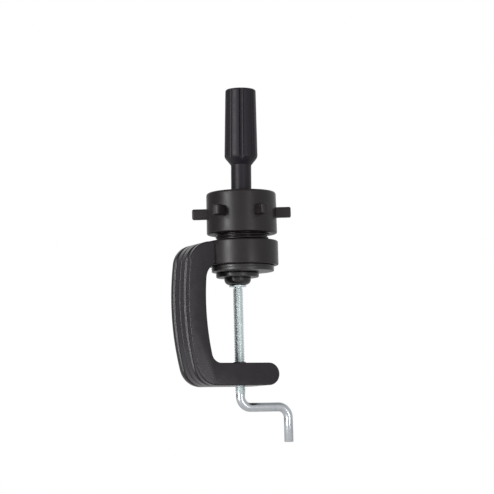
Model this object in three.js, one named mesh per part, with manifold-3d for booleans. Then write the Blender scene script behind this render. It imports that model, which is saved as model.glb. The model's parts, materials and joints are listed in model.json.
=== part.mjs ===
// A table clamp that holds a training head: a C-shaped frame with a crank screw and a swivel pad below,
// and a socket with a lockable ball joint and a fluted post above.
// Millimetres, +Z up, +X from the frame's spine towards the open side. The origin lies on the clamp
// screw's axis, in the plane of the jaw face. The socket stands SOCKET_Y in front of that axis.

import * as THREE from 'three';
import { mergeVertices } from 'three/addons/utils/BufferGeometryUtils.js';
import Module from 'manifold-3d';

const wasm = await Module();
wasm.setup();

// ---- driving dimensions -------------------------------------------------------------------------

const GAP = 0.3; // between touching pieces
const CHAMFER = 0.7; // on the outer edges of moulded pieces
const CUT_MARGIN = 1; // how far a cutter reaches past the face that it opens

// C-frame: an arched spine between two straight arms, FRAME_WIDTH wide across Y.
const FRAME_WIDTH = 35.4;
const SPINE_CENTRE_X = 175.8;
const SPINE_CENTRE_Z = -23;
const SPINE_OUTER_RADIUS = 225.95;
const SPINE_INNER_RADIUS = 211.05;
const UPPER_ARM_TOP = 22.7;
const UPPER_ARM_UNDERSIDE = 6.5;
const LOWER_ARM_TOP = -71.4;
const LOWER_ARM_THICKNESS = 17.6;
const LOWER_ARM_BOTTOM = LOWER_ARM_TOP - LOWER_ARM_THICKNESS;
const LOWER_ARM_REACH = 26.2;
const OUTER_CORNER_RADIUS = 17.5;
const UPPER_FILLET_RADIUS = 13;
const LOWER_FILLET_RADIUS = 8;
const GROOVE_DEPTH = 1.4;
const OUTER_RIB_WIDTH = 4.5;
const CENTRE_RIB_WIDTH = 15.2;

// Socket housing, jaw disc and ball joint, all round the socket axis.
const SOCKET_Y = -10;
const HOUSING_RADIUS = 28.1;
const HOUSING_BOTTOM = 4.7;
const HOUSING_TOP = 23.8;
const NECK_RADIUS = 20.8;
const NECK_TOP = 44;
const SOCKET_BORE_RADIUS = 17.9;
const SOCKET_FLOOR = 12;
const JAW_RADIUS = 24.5;
const JAW_THICKNESS = 4.4;
const BALL_RADIUS = 17;
const BALL_Z = 45;
const BALL_FLAT_DROP = 14; // from the ball's centre to the flat below it
const SEAT_TOP = 36;
const SEAT_WASHER_THICKNESS = 1;
const SEAT_WASHER_HOLE_RADIUS = 6;

// Collar nut and the pressure ring under its lip.
const COLLAR_BOTTOM = 29.5;
const COLLAR_TOP = 62.4;
const COLLAR_RADIUS = 27.5;
const COLLAR_BORE_RADIUS = 21.2;
const COLLAR_OPENING_RADIUS = 18.3;
const COLLAR_TOP_ROUND = 2;
const LIP_THICKNESS = 4.7;
const RING_RADIUS = 20.4;
const RING_BOTTOM = 53.6;
const RING_TOP_WIDENING = 1.2;
const LUG_COUNT = 6;
const LUG_REACH = 38.8;
const LUG_WIDTH = 6;
const LUG_HEIGHT = 8.2;
const LUG_Z = 46;
const LUG_ROUND = 1.5; // at the corners of its end
const LUG_ROOT = 3; // how deep it is joined into the collar's wall
const LUG_PHASE = 33; // degrees from +X of the first lug

// Post.
const POST_NECK_RADIUS = 8;
const POST_NECK_BOTTOM = 52.3;
const POST_SHOULDER_BOTTOM = 84.2;
const POST_SHOULDER_TOP = 90.6;
const POST_SHOULDER_RADIUS = 13.1;
const POST_TOP = 144.6;
const POST_TOP_RADIUS = 12.05;
const POST_TOP_ROUND = 1.6;
const FLUTE_COUNT = 8;
const FLUTE_RADIUS = 1.8;
const FLUTE_DEPTH = 1.5;
const POST_LEAN = 0.95; // degrees off upright, about the ball's centre, at rest
const POST_LEAN_HEADING = -25.5; // degrees from +X of the side it leans to

// Clamp screw, its nut and the swivel pad.
const THREAD_RADIUS = 4;
const THREAD_TOP = -12;
const THREAD_BOTTOM = -95;
const ROD_RADIUS = 3.6;
const TIP_BALL_RADIUS = 3.5;
const TIP_BALL_Z = -7.7;
const TIP_NECK_RADIUS = 2.8;
const CRANK_Z = -105.7;
const CRANK_REACH = 41.4;
const CRANK_BEND_RADIUS = 8.5;
const CRANK_END = -133.5;
const SCREW_BORE_RADIUS = 4.6;
const NUT_ACROSS_FLATS = 13;
const NUT_HEIGHT = 6.5;
const NUT_TOP = -73.7;
const CAP_FLANGE_RADIUS = 8.6;
const CAP_FLANGE_THICKNESS = 1.9;
const CAP_NECK_RADIUS = 5;
const CAP_TOP = -70.2;
const PAD_RADIUS = 17;
const PAD_THICKNESS = 3.4;
const PAD_CUP_RADIUS = 10.9;
const PAD_CUP_BOTTOM = -9.5;
const PAD_WASHER_RADIUS = 6.8;
const PAD_WASHER_THICKNESS = 1.2;

// Small fasteners.
const HOUSING_SCREW_Z = 18;
const HOUSING_SCREW_YS = { front: -7, rear: 3 };
const HOUSING_SCREW_LENGTH = 15;
const HOUSING_SCREW_RADIUS = 1.75;
const HOUSING_SCREW_HEAD_RADIUS = 3.2;
const HOUSING_SCREW_HEAD_HEIGHT = 2.6;
const JAW_SCREW_RADIUS = 2;
const JAW_SCREW_HEAD_RADIUS = 4.2;
const JAW_SCREW_TIP = 11;
const JAW_SCREW_POINT = 2;
const POST_BOLT_RADIUS = 2.5;
const POST_BOLT_HEAD_RADIUS = 4.5;
const POST_BOLT_HEAD_HEIGHT = 3.6;
const POST_BOLT_TIP = 72;
const POST_BOLT_WASHER_RADIUS = 5.2;
const POST_BOLT_WASHER_THICKNESS = 1;
const BOLT_SEAT_Z = 37.6;

const QUARTER_HANDLE = 0.5523; // handle length, over the radius, of a quarter circle as a cubic curve
const ROUND = 36; // sides of a large round piece
const SMALL_ROUND = 20; // sides of a small one

// ---- materials ----------------------------------------------------------------------------------

const finish = (color, roughness, metalness) => () =>
  new THREE.MeshStandardMaterial({ color, roughness, metalness });

const framePlastic = finish(0x242326, 0.5, 0);
const housingPlastic = finish(0x282625, 0.45, 0);
const postPlastic = finish(0x17181b, 0.28, 0);
const padPlastic = finish(0x232224, 0.4, 0);
const innerPlastic = finish(0xd8d6cf, 0.5, 0);
const zinc = finish(0xb4bab6, 0.34, 1);
const steel = finish(0x9a9c9e, 0.4, 1);

// ---- solids and booleans ------------------------------------------------------------------------

function toSolid(geometry) {
  const bare = geometry.clone();
  bare.deleteAttribute('normal');
  bare.deleteAttribute('uv');
  const merged = mergeVertices(bare, 1e-4);
  return new wasm.Manifold(new wasm.Mesh({
    numProp: 3,
    vertProperties: new Float32Array(merged.attributes.position.array),
    triVerts: new Uint32Array(merged.index.array),
  }));
}

function toGeometry(solid) {
  const mesh = solid.getMesh();
  const geometry = new THREE.BufferGeometry();
  geometry.setAttribute('position', new THREE.BufferAttribute(mesh.vertProperties, 3));
  geometry.setIndex(new THREE.BufferAttribute(mesh.triVerts, 1));
  return geometry;
}

function join(base, ...others) {
  return toGeometry(others.reduce((solid, other) => solid.add(toSolid(other)), toSolid(base)));
}

function cut(base, ...cutters) {
  return toGeometry(cutters.reduce((solid, cutter) => solid.subtract(toSolid(cutter)), toSolid(base)));
}

// A turned solid about a vertical axis. The profile is a list of [radius, z] points.
function turned(profile, y = 0, sides = ROUND) {
  const points = profile.map(([radius, z]) => new THREE.Vector2(radius, z));
  const geometry = new THREE.LatheGeometry(points, sides);
  geometry.rotateX(Math.PI / 2);
  geometry.translate(0, y, 0);
  return geometry;
}

// A ring or tube: the rectangle between two radii and two heights, turned about a vertical axis.
function ring(inner, outer, bottom, top, y = 0, sides = ROUND) {
  return turned([[inner, bottom], [outer, bottom], [outer, top], [inner, top], [inner, bottom]], y, sides);
}

function disc(radius, bottom, top, y = 0, sides = ROUND) {
  return turned([[0, bottom], [radius, bottom], [radius, top], [0, top]], y, sides);
}

// Points of a circular arc in the profile plane, from one angle to another (degrees).
function arc(centreR, centreZ, radius, from, to, steps) {
  const points = [];
  for (let i = 0; i <= steps; i += 1) {
    const angle = THREE.MathUtils.degToRad(from + ((to - from) * i) / steps);
    points.push([centreR + radius * Math.cos(angle), centreZ + radius * Math.sin(angle)]);
  }
  return points;
}

// A plate whose outline lies in the XZ plane, centred on Y = 0.
function plate(outline, width, y = 0) {
  const extrusion = { depth: width, bevelEnabled: false, curveSegments: 8 };
  const geometry = new THREE.ExtrudeGeometry(outline, extrusion);
  geometry.rotateX(Math.PI / 2);
  geometry.translate(0, y + width / 2, 0);
  return geometry;
}

// A screw along -X: a pan head and a plain shank. x is the face of the head.
function screwAlongX(x, y, z, clearance = 0) {
  const headHeight = HOUSING_SCREW_HEAD_HEIGHT;
  const headRadius = HOUSING_SCREW_HEAD_RADIUS + clearance;
  const shankRadius = HOUSING_SCREW_RADIUS + clearance;
  const tip = HOUSING_SCREW_LENGTH + headHeight + clearance;
  const head = headHeight + clearance;
  const geometry = turned([[0, 0], [headRadius, 0], [headRadius, head], [shankRadius, head],
    [shankRadius, tip], [0, tip]], 0, SMALL_ROUND);
  geometry.rotateY(-Math.PI / 2);
  geometry.translate(x, y, z);
  return geometry;
}

// ---- C-frame ------------------------------------------------------------------------------------

// Where a fillet of the given radius sits between a level line and the arched spine.
function filletCentre(radius, z, spineRadius) {
  const rise = z - SPINE_CENTRE_Z;
  return SPINE_CENTRE_X - Math.sqrt((spineRadius - radius) ** 2 - rise ** 2);
}

// The C outline. The back is moved forward by inset, so that it runs out into the arms' flat faces.
function frameOutline(inset) {
  const topZ = UPPER_ARM_TOP - OUTER_CORNER_RADIUS;
  const bottomZ = LOWER_ARM_BOTTOM + OUTER_CORNER_RADIUS;
  const topX = filletCentre(OUTER_CORNER_RADIUS, topZ, SPINE_OUTER_RADIUS) + inset;
  const bottomX = filletCentre(OUTER_CORNER_RADIUS, bottomZ, SPINE_OUTER_RADIUS) + inset;
  const upperZ = UPPER_ARM_UNDERSIDE - UPPER_FILLET_RADIUS;
  const lowerZ = LOWER_ARM_TOP + LOWER_FILLET_RADIUS;
  const upperX = filletCentre(UPPER_FILLET_RADIUS, upperZ, SPINE_INNER_RADIUS);
  const lowerX = filletCentre(LOWER_FILLET_RADIUS, lowerZ, SPINE_INNER_RADIUS);
  const backX = SPINE_CENTRE_X + inset;
  const towards = (x, z, centreX) => Math.atan2(z - SPINE_CENTRE_Z, x - centreX);
  const full = 2 * Math.PI;
  const outerTop = towards(topX, topZ, backX);
  const outerBottom = towards(bottomX, bottomZ, backX) + full;
  const innerTop = towards(upperX, upperZ, SPINE_CENTRE_X);
  const innerBottom = towards(lowerX, lowerZ, SPINE_CENTRE_X) + full;
  const endRadius = LOWER_ARM_THICKNESS / 2;
  const endX = LOWER_ARM_REACH - endRadius;

  const outline = new THREE.Shape();
  outline.moveTo(0, UPPER_ARM_TOP);
  outline.lineTo(topX, UPPER_ARM_TOP);
  outline.absarc(topX, topZ, OUTER_CORNER_RADIUS, Math.PI / 2, outerTop, false);
  outline.absarc(backX, SPINE_CENTRE_Z, SPINE_OUTER_RADIUS, outerTop, outerBottom, false);
  outline.absarc(bottomX, bottomZ, OUTER_CORNER_RADIUS, outerBottom, 1.5 * Math.PI, false);
  outline.absarc(endX, LOWER_ARM_TOP - endRadius, endRadius, -Math.PI / 2, Math.PI / 2, false);
  outline.absarc(lowerX, lowerZ, LOWER_FILLET_RADIUS, 1.5 * Math.PI, innerBottom, true);
  outline.absarc(SPINE_CENTRE_X, SPINE_CENTRE_Z, SPINE_INNER_RADIUS, innerBottom, innerTop, true);
  outline.absarc(upperX, upperZ, UPPER_FILLET_RADIUS, innerTop, Math.PI / 2, true);
  outline.lineTo(0, UPPER_ARM_UNDERSIDE);
  outline.closePath();
  return outline;
}

// The head's face lies just outside the socket bore all round.
function housingScrewX(y) {
  const nearEdge = y - SOCKET_Y - HOUSING_SCREW_HEAD_RADIUS;
  return -Math.sqrt(SOCKET_BORE_RADIUS ** 2 - nearEdge ** 2) - GAP;
}

function makeFrame() {
  const core = plate(frameOutline(GROOVE_DEPTH), FRAME_WIDTH);
  const ribY = (FRAME_WIDTH - OUTER_RIB_WIDTH) / 2;
  const ribs = [
    plate(frameOutline(0), OUTER_RIB_WIDTH, -ribY),
    plate(frameOutline(0), CENTRE_RIB_WIDTH),
    plate(frameOutline(0), OUTER_RIB_WIDTH, ribY),
  ];
  const capRecessBottom = LOWER_ARM_TOP - CAP_FLANGE_THICKNESS - GAP;
  const nutRadius = NUT_ACROSS_FLATS / Math.sqrt(3) + GAP;
  const cutters = [
    disc(HOUSING_RADIUS + GAP, 0, HOUSING_TOP + CUT_MARGIN, SOCKET_Y),
    disc(SCREW_BORE_RADIUS, LOWER_ARM_BOTTOM - CUT_MARGIN, LOWER_ARM_TOP, 0, SMALL_ROUND),
    disc(CAP_FLANGE_RADIUS + GAP, capRecessBottom, LOWER_ARM_TOP + CUT_MARGIN, 0, SMALL_ROUND),
    disc(nutRadius, NUT_TOP - NUT_HEIGHT - GAP, capRecessBottom + CUT_MARGIN, 0, 6),
    ...Object.values(HOUSING_SCREW_YS).map((y) => screwAlongX(housingScrewX(y), y, HOUSING_SCREW_Z, GAP)),
  ];
  return cut(join(core, ...ribs), ...cutters);
}

// ---- socket and jaw -----------------------------------------------------------------------------

function makeHousing() {
  const body = turned([
    [JAW_SCREW_RADIUS + GAP, HOUSING_BOTTOM],
    [HOUSING_RADIUS - CHAMFER, HOUSING_BOTTOM],
    [HOUSING_RADIUS, HOUSING_BOTTOM + CHAMFER],
    [HOUSING_RADIUS, HOUSING_TOP - CHAMFER],
    [HOUSING_RADIUS - CHAMFER, HOUSING_TOP],
    [NECK_RADIUS, HOUSING_TOP],
    [NECK_RADIUS, NECK_TOP - CHAMFER],
    [NECK_RADIUS - CHAMFER, NECK_TOP],
    [SOCKET_BORE_RADIUS, NECK_TOP],
    [SOCKET_BORE_RADIUS, SOCKET_FLOOR],
    [JAW_SCREW_RADIUS + GAP, SOCKET_FLOOR],
    [JAW_SCREW_RADIUS + GAP, HOUSING_BOTTOM],
  ], SOCKET_Y);
  const holes = Object.values(HOUSING_SCREW_YS).map((y) => {
    const bore = screwAlongX(housingScrewX(y), y, HOUSING_SCREW_Z, GAP);
    const access = screwAlongX(housingScrewX(y) + HOUSING_SCREW_HEAD_HEIGHT, y, HOUSING_SCREW_Z, GAP);
    return join(bore, access);
  });
  return cut(body, ...holes);
}

function makeJawDisc() {
  const head = JAW_SCREW_HEAD_RADIUS + GAP;
  const hole = JAW_SCREW_RADIUS + GAP;
  return turned([
    [head, 0],
    [JAW_RADIUS - CHAMFER, 0],
    [JAW_RADIUS, CHAMFER],
    [JAW_RADIUS, JAW_THICKNESS - CHAMFER],
    [JAW_RADIUS - CHAMFER, JAW_THICKNESS],
    [hole, JAW_THICKNESS],
    [hole, head - hole],
    [head, 0],
  ], SOCKET_Y);
}

function makeJawScrew() {
  const head = JAW_SCREW_HEAD_RADIUS;
  const depth = head - JAW_SCREW_RADIUS;
  return turned([[0, GAP], [head - GAP, GAP], [JAW_SCREW_RADIUS, depth],
    [JAW_SCREW_RADIUS, JAW_SCREW_TIP - JAW_SCREW_POINT], [0, JAW_SCREW_TIP]], SOCKET_Y, SMALL_ROUND);
}

function makeSeatCup() {
  const outer = SOCKET_BORE_RADIUS - GAP;
  const bottom = SOCKET_FLOOR + SEAT_WASHER_THICKNESS + GAP;
  const recess = BALL_RADIUS + GAP;
  const rim = THREE.MathUtils.radToDeg(Math.asin((SEAT_TOP - BALL_Z) / recess));
  return turned([[0, bottom], [outer, bottom], [outer, SEAT_TOP],
    ...arc(0, BALL_Z, recess, rim, -90, 5)], SOCKET_Y);
}

function makeSeatWasher() {
  const bottom = SOCKET_FLOOR + GAP / 2;
  const top = SOCKET_FLOOR + SEAT_WASHER_THICKNESS;
  return ring(SEAT_WASHER_HOLE_RADIUS, SOCKET_BORE_RADIUS - GAP, bottom, top, SOCKET_Y);
}

// ---- collar -------------------------------------------------------------------------------------

function makeLug(angle) {
  const inner = COLLAR_RADIUS - LUG_ROOT;
  const roundX = LUG_REACH - LUG_ROUND;
  const halfWidth = LUG_WIDTH / 2;
  const outline = new THREE.Shape();
  outline.moveTo(inner, -halfWidth);
  outline.lineTo(roundX, -halfWidth);
  outline.absarc(roundX, -halfWidth + LUG_ROUND, LUG_ROUND, -Math.PI / 2, 0, false);
  outline.absarc(roundX, halfWidth - LUG_ROUND, LUG_ROUND, 0, Math.PI / 2, false);
  outline.lineTo(inner, halfWidth);
  outline.closePath();
  const extrusion = { depth: LUG_HEIGHT, bevelEnabled: false, curveSegments: 3 };
  const geometry = new THREE.ExtrudeGeometry(outline, extrusion);
  geometry.translate(0, 0, LUG_Z - LUG_HEIGHT / 2);
  geometry.rotateZ(angle);
  geometry.translate(0, SOCKET_Y, 0);
  return geometry;
}

function makeCollar() {
  const round = COLLAR_TOP_ROUND;
  const lipBottom = COLLAR_TOP - LIP_THICKNESS;
  const body = turned([
    [COLLAR_BORE_RADIUS, COLLAR_BOTTOM],
    [COLLAR_RADIUS - CHAMFER, COLLAR_BOTTOM],
    [COLLAR_RADIUS, COLLAR_BOTTOM + CHAMFER],
    ...arc(COLLAR_RADIUS - round, COLLAR_TOP - round, round, 0, 90, 3),
    [COLLAR_OPENING_RADIUS + CHAMFER, COLLAR_TOP],
    [COLLAR_OPENING_RADIUS, COLLAR_TOP - CHAMFER],
    [COLLAR_OPENING_RADIUS, lipBottom],
    [COLLAR_BORE_RADIUS, lipBottom],
    [COLLAR_BORE_RADIUS, COLLAR_BOTTOM],
  ], SOCKET_Y);
  const lugs = [];
  for (let i = 0; i < LUG_COUNT; i += 1) {
    lugs.push(makeLug(THREE.MathUtils.degToRad(LUG_PHASE) + (i * 2 * Math.PI) / LUG_COUNT));
  }
  return join(body, ...lugs);
}

function makePressureRing() {
  const top = COLLAR_TOP - LIP_THICKNESS - GAP;
  const contact = Math.sqrt((BALL_RADIUS + GAP) ** 2 - (RING_BOTTOM - BALL_Z) ** 2);
  return turned([[contact, RING_BOTTOM], [RING_RADIUS, RING_BOTTOM], [RING_RADIUS, top],
    [contact + RING_TOP_WIDENING, top], [contact, RING_BOTTOM]], SOCKET_Y);
}

// ---- ball and post ------------------------------------------------------------------------------

function makeBall() {
  const flat = BALL_Z - BALL_FLAT_DROP;
  const from = -THREE.MathUtils.radToDeg(Math.asin(BALL_FLAT_DROP / BALL_RADIUS));
  const socket = POST_NECK_RADIUS + GAP;
  const to = THREE.MathUtils.radToDeg(Math.acos(socket / BALL_RADIUS));
  const counterbore = POST_BOLT_WASHER_RADIUS + GAP;
  const hole = POST_BOLT_RADIUS + GAP;
  const socketFloor = POST_NECK_BOTTOM - GAP;
  return turned([
    [counterbore, flat],
    ...arc(0, BALL_Z, BALL_RADIUS, from, to, 8),
    [socket, socketFloor],
    [hole, socketFloor],
    [hole, BOLT_SEAT_Z],
    [counterbore, BOLT_SEAT_Z],
    [counterbore, flat],
  ], SOCKET_Y);
}

// Radius of the post's outside between the shoulder and the top.
function postRadius(z) {
  const along = (z - POST_SHOULDER_TOP) / (POST_TOP - POST_SHOULDER_TOP);
  return POST_SHOULDER_RADIUS + (POST_TOP_RADIUS - POST_SHOULDER_RADIUS) * along;
}

function makeFlute(angle) {
  const bottom = POST_SHOULDER_BOTTOM;
  const length = POST_TOP + CUT_MARGIN - bottom;
  const geometry = new THREE.CylinderGeometry(FLUTE_RADIUS, FLUTE_RADIUS, length, 8);
  const slope = (POST_SHOULDER_RADIUS - POST_TOP_RADIUS) / (POST_TOP - POST_SHOULDER_TOP);
  geometry.rotateX(Math.PI / 2);
  geometry.rotateY(-Math.atan(slope));
  geometry.translate(postRadius(bottom + length / 2) + FLUTE_RADIUS - FLUTE_DEPTH, 0, bottom + length / 2);
  geometry.rotateZ(angle);
  geometry.translate(0, SOCKET_Y, 0);
  return geometry;
}

function makePost() {
  const pilot = POST_BOLT_RADIUS + GAP;
  const body = turned([
    [pilot, POST_NECK_BOTTOM],
    [POST_NECK_RADIUS, POST_NECK_BOTTOM],
    [POST_NECK_RADIUS, POST_SHOULDER_BOTTOM],
    [POST_SHOULDER_RADIUS, POST_SHOULDER_TOP],
    ...arc(POST_TOP_RADIUS - POST_TOP_ROUND, POST_TOP - POST_TOP_ROUND, POST_TOP_ROUND, 0, 90, 3),
    [0, POST_TOP],
    [0, POST_BOLT_TIP + GAP],
    [pilot, POST_BOLT_TIP + GAP],
    [pilot, POST_NECK_BOTTOM],
  ], SOCKET_Y);
  const flutes = [];
  for (let i = 0; i < FLUTE_COUNT; i += 1) {
    flutes.push(makeFlute(((i + 0.5) * 2 * Math.PI) / FLUTE_COUNT));
  }
  return cut(body, ...flutes);
}

function makePostBolt() {
  const headTop = BOLT_SEAT_Z - GAP - POST_BOLT_WASHER_THICKNESS - GAP;
  const headBottom = headTop - POST_BOLT_HEAD_HEIGHT;
  return turned([
    [0, headBottom],
    [POST_BOLT_HEAD_RADIUS, headBottom],
    [POST_BOLT_HEAD_RADIUS, headTop],
    [POST_BOLT_RADIUS, headTop],
    [POST_BOLT_RADIUS, POST_BOLT_TIP],
    [0, POST_BOLT_TIP],
  ], SOCKET_Y, SMALL_ROUND);
}

function makePostBoltWasher() {
  const top = BOLT_SEAT_Z - GAP;
  const bottom = top - POST_BOLT_WASHER_THICKNESS;
  return ring(POST_BOLT_RADIUS + GAP, POST_BOLT_WASHER_RADIUS, bottom, top, SOCKET_Y, SMALL_ROUND);
}

// ---- clamp screw and pad ------------------------------------------------------------------------

// The rod's centre line from the thread down round both bends of the crank.
function crankPath() {
  const bend = CRANK_BEND_RADIUS;
  const start = new THREE.Vector3(0, 0, THREAD_BOTTOM + CUT_MARGIN);
  const quarter = bend * QUARTER_HANDLE;
  const path = new THREE.CurvePath();
  const first = new THREE.Vector3(0, 0, CRANK_Z + bend);
  const second = new THREE.Vector3(bend, 0, CRANK_Z);
  const third = new THREE.Vector3(CRANK_REACH - bend, 0, CRANK_Z);
  const fourth = new THREE.Vector3(CRANK_REACH, 0, CRANK_Z - bend);
  const down = new THREE.Vector3(0, 0, -quarter);
  const out = new THREE.Vector3(quarter, 0, 0);
  path.add(new THREE.LineCurve3(start, first));
  path.add(new THREE.CubicBezierCurve3(first, first.clone().add(down), second.clone().sub(out), second));
  path.add(new THREE.LineCurve3(second, third));
  path.add(new THREE.CubicBezierCurve3(third, third.clone().add(out), fourth.clone().sub(down), fourth));
  path.add(new THREE.LineCurve3(fourth, new THREE.Vector3(CRANK_REACH, 0, CRANK_END)));
  return path;
}

function makeScrew() {
  const section = new THREE.Shape();
  section.absarc(0, 0, ROD_RADIUS, 0, 2 * Math.PI, false);
  const sweep = { steps: 40, extrudePath: crankPath(), curveSegments: 8 };
  const crank = new THREE.ExtrudeGeometry(section, sweep);
  const neckAngle = THREE.MathUtils.radToDeg(Math.acos(TIP_NECK_RADIUS / TIP_BALL_RADIUS));
  const shaft = turned([
    [0, THREAD_BOTTOM],
    [THREAD_RADIUS, THREAD_BOTTOM],
    [THREAD_RADIUS, THREAD_TOP - CHAMFER],
    [THREAD_RADIUS - CHAMFER, THREAD_TOP],
    [TIP_NECK_RADIUS, THREAD_TOP],
    ...arc(0, TIP_BALL_Z, TIP_BALL_RADIUS, -neckAngle, 90, 6),
  ], 0, SMALL_ROUND);
  return join(shaft, crank);
}

function makeNut() {
  const hole = THREAD_RADIUS + GAP;
  const blank = disc(NUT_ACROSS_FLATS / Math.sqrt(3), NUT_TOP - NUT_HEIGHT, NUT_TOP, 0, 6);
  return cut(blank, disc(hole, NUT_TOP - NUT_HEIGHT - CUT_MARGIN, NUT_TOP + CUT_MARGIN, 0, SMALL_ROUND));
}

function makeNutCap() {
  const hole = THREAD_RADIUS + GAP;
  const bottom = LOWER_ARM_TOP - CAP_FLANGE_THICKNESS;
  return turned([[hole, bottom], [CAP_FLANGE_RADIUS, bottom], [CAP_FLANGE_RADIUS, LOWER_ARM_TOP],
    [CAP_NECK_RADIUS, LOWER_ARM_TOP], [CAP_NECK_RADIUS, CAP_TOP], [hole, CAP_TOP], [hole, bottom]],
  0, SMALL_ROUND);
}

const padBottom = -GAP - PAD_THICKNESS;

function makePadDisc() {
  const top = -GAP;
  return turned([[0, padBottom], [PAD_RADIUS - CHAMFER, padBottom], [PAD_RADIUS, padBottom + CHAMFER],
    [PAD_RADIUS, top - CHAMFER], [PAD_RADIUS - CHAMFER, top], [0, top]]);
}

function makePadCup() {
  const bore = TIP_BALL_RADIUS + GAP;
  const top = padBottom - GAP;
  const round = PAD_CUP_RADIUS - PAD_WASHER_RADIUS;
  return turned([[bore, PAD_CUP_BOTTOM],
    ...arc(PAD_WASHER_RADIUS, PAD_CUP_BOTTOM + round, round, -90, 0, 4),
    [PAD_CUP_RADIUS, top], [bore, top], [bore, PAD_CUP_BOTTOM]]);
}

function makePadWasher() {
  const top = PAD_CUP_BOTTOM - GAP;
  return ring(TIP_NECK_RADIUS + GAP, PAD_WASHER_RADIUS, top - PAD_WASHER_THICKNESS, top, 0, SMALL_ROUND);
}

// ---- assembly -----------------------------------------------------------------------------------

function piece(name, geometry, material) {
  const mesh = new THREE.Mesh(geometry, material());
  mesh.name = name;
  return mesh;
}

const housingScrews = Object.entries(HOUSING_SCREW_YS).map(([side, y]) =>
  piece(`housing_screw_${side}`, screwAlongX(housingScrewX(y), y, HOUSING_SCREW_Z), steel));

const frameGroup = new THREE.Group().add(
  piece('c_frame', makeFrame(), framePlastic),
  piece('socket_housing', makeHousing(), housingPlastic),
  ...housingScrews,
  piece('jaw_disc', makeJawDisc(), housingPlastic),
  piece('jaw_disc_screw', makeJawScrew(), steel),
  piece('seat_washer', makeSeatWasher(), steel),
  piece('clamp_nut', makeNut(), steel),
  piece('nut_cap', makeNutCap(), framePlastic),
);

const padGroup = new THREE.Group().add(
  piece('pad_disc', makePadDisc(), padPlastic),
  piece('pad_cup', makePadCup(), padPlastic),
  piece('pad_washer', makePadWasher(), zinc),
  piece('clamp_screw', makeScrew(), zinc),
);

const collarGroup = new THREE.Group().add(
  piece('collar_nut', makeCollar(), housingPlastic),
  piece('pressure_ring', makePressureRing(), innerPlastic),
);

const socketGroup = new THREE.Group().add(piece('seat_cup', makeSeatCup(), innerPlastic));

// The post and its ball lean together about the ball's centre.
const ballCentre = new THREE.Vector3(0, SOCKET_Y, BALL_Z);
const uprightPost = new THREE.Group().add(
  piece('ball', makeBall(), postPlastic),
  piece('post', makePost(), postPlastic),
  piece('post_bolt', makePostBolt(), steel),
  piece('post_bolt_washer', makePostBoltWasher(), steel),
);
uprightPost.position.copy(ballCentre).negate();
const heading = THREE.MathUtils.degToRad(POST_LEAN_HEADING);
const leanAxis = new THREE.Vector3(-Math.sin(heading), Math.cos(heading), 0);
const postGroup = new THREE.Group().add(uprightPost);
postGroup.position.copy(ballCentre);
postGroup.quaternion.setFromAxisAngle(leanAxis, THREE.MathUtils.degToRad(POST_LEAN));

export default new THREE.Group().add(frameGroup, padGroup, collarGroup, socketGroup, postGroup);
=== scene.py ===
"""Looks of the table clamp: its moulded and turned pieces are stood for by finely rounded meshes.

They have the sizes of their CAD nodes. The fasteners and the seat inside the socket keep their CAD meshes.
Mesh helpers work in millimetres in the row frame, and mesh_object turns them into Blender's metres.
"""

import json
import math

import bmesh
import bpy
from mathutils import Matrix, Vector


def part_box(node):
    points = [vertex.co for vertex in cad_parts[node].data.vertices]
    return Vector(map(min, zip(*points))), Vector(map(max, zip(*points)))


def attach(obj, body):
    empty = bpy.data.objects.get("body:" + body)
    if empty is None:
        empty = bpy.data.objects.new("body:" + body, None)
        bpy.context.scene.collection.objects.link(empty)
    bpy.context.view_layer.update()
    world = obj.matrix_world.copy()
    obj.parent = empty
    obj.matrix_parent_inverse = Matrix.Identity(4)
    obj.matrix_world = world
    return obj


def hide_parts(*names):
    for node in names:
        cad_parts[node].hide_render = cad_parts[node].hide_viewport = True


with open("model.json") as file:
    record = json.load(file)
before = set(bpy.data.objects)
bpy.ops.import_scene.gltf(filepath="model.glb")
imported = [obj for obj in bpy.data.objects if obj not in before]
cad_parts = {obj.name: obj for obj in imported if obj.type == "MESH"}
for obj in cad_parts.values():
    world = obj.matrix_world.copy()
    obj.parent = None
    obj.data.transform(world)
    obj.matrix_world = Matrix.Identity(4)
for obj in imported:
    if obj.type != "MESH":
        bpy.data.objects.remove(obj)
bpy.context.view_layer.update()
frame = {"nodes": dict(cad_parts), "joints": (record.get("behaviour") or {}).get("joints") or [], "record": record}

MM = 0.001
UP = Vector((0.0, 0.0, 1.0))

# ---- places and sizes that come from the frame (millimetres) ---------------------------------------

joints = {joint["name"]: joint for joint in frame["joints"]}
mounts = {mount["name"]: mount for mount in frame["record"]["mounts"]}


def box_mm(node):
    low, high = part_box(node)
    return low / MM, high / MM


def centre_xy(node):
    low, high = box_mm(node)
    return (low.x + high.x) / 2, (low.y + high.y) / 2


SCREW_AXIS = centre_xy("pad_disc")
SOCKET_AXIS = centre_xy("jaw_disc")
BALL_CENTRE = Vector(joints["post_tilt"]["pos_m"]) / MM

# ---- sizes of details that the frame doesn't hold (millimetres) -------------------------------------

SPINE_CENTRE = (175.8, -23.0)
SPINE_OUTER_RADIUS = 225.95
SPINE_INNER_RADIUS = 211.05
UPPER_ARM_UNDERSIDE = 6.5
LOWER_ARM_TOP = -71.4
OUTER_CORNER_RADIUS = 17.5
UPPER_FILLET_RADIUS = 13.0
LOWER_FILLET_RADIUS = 8.0
OUTER_CORNER_STEPS = 16
OUTER_SPINE_STEPS = 40
INNER_SPINE_STEPS = 30
ARM_END_STEPS = 24
THROAT_FILLET_STEPS = 10
FRAME_EDGE = 1.1
FRAME_EDGE_STEPS = 5
FRAME_ROWS = 150
GROOVE_DEPTH = 1.4
GROOVE_CENTRE = 10.4
GROOVE_WIDTH = 5.8
GROOVE_FLANK = 1.7
CENTRE_LINE_DEPTH = 0.7
CENTRE_LINE_WIDTH = 2.4
SCREW_BORE_RADIUS = 4.6
HOUSING_CUT_BOTTOM = 0.0
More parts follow.
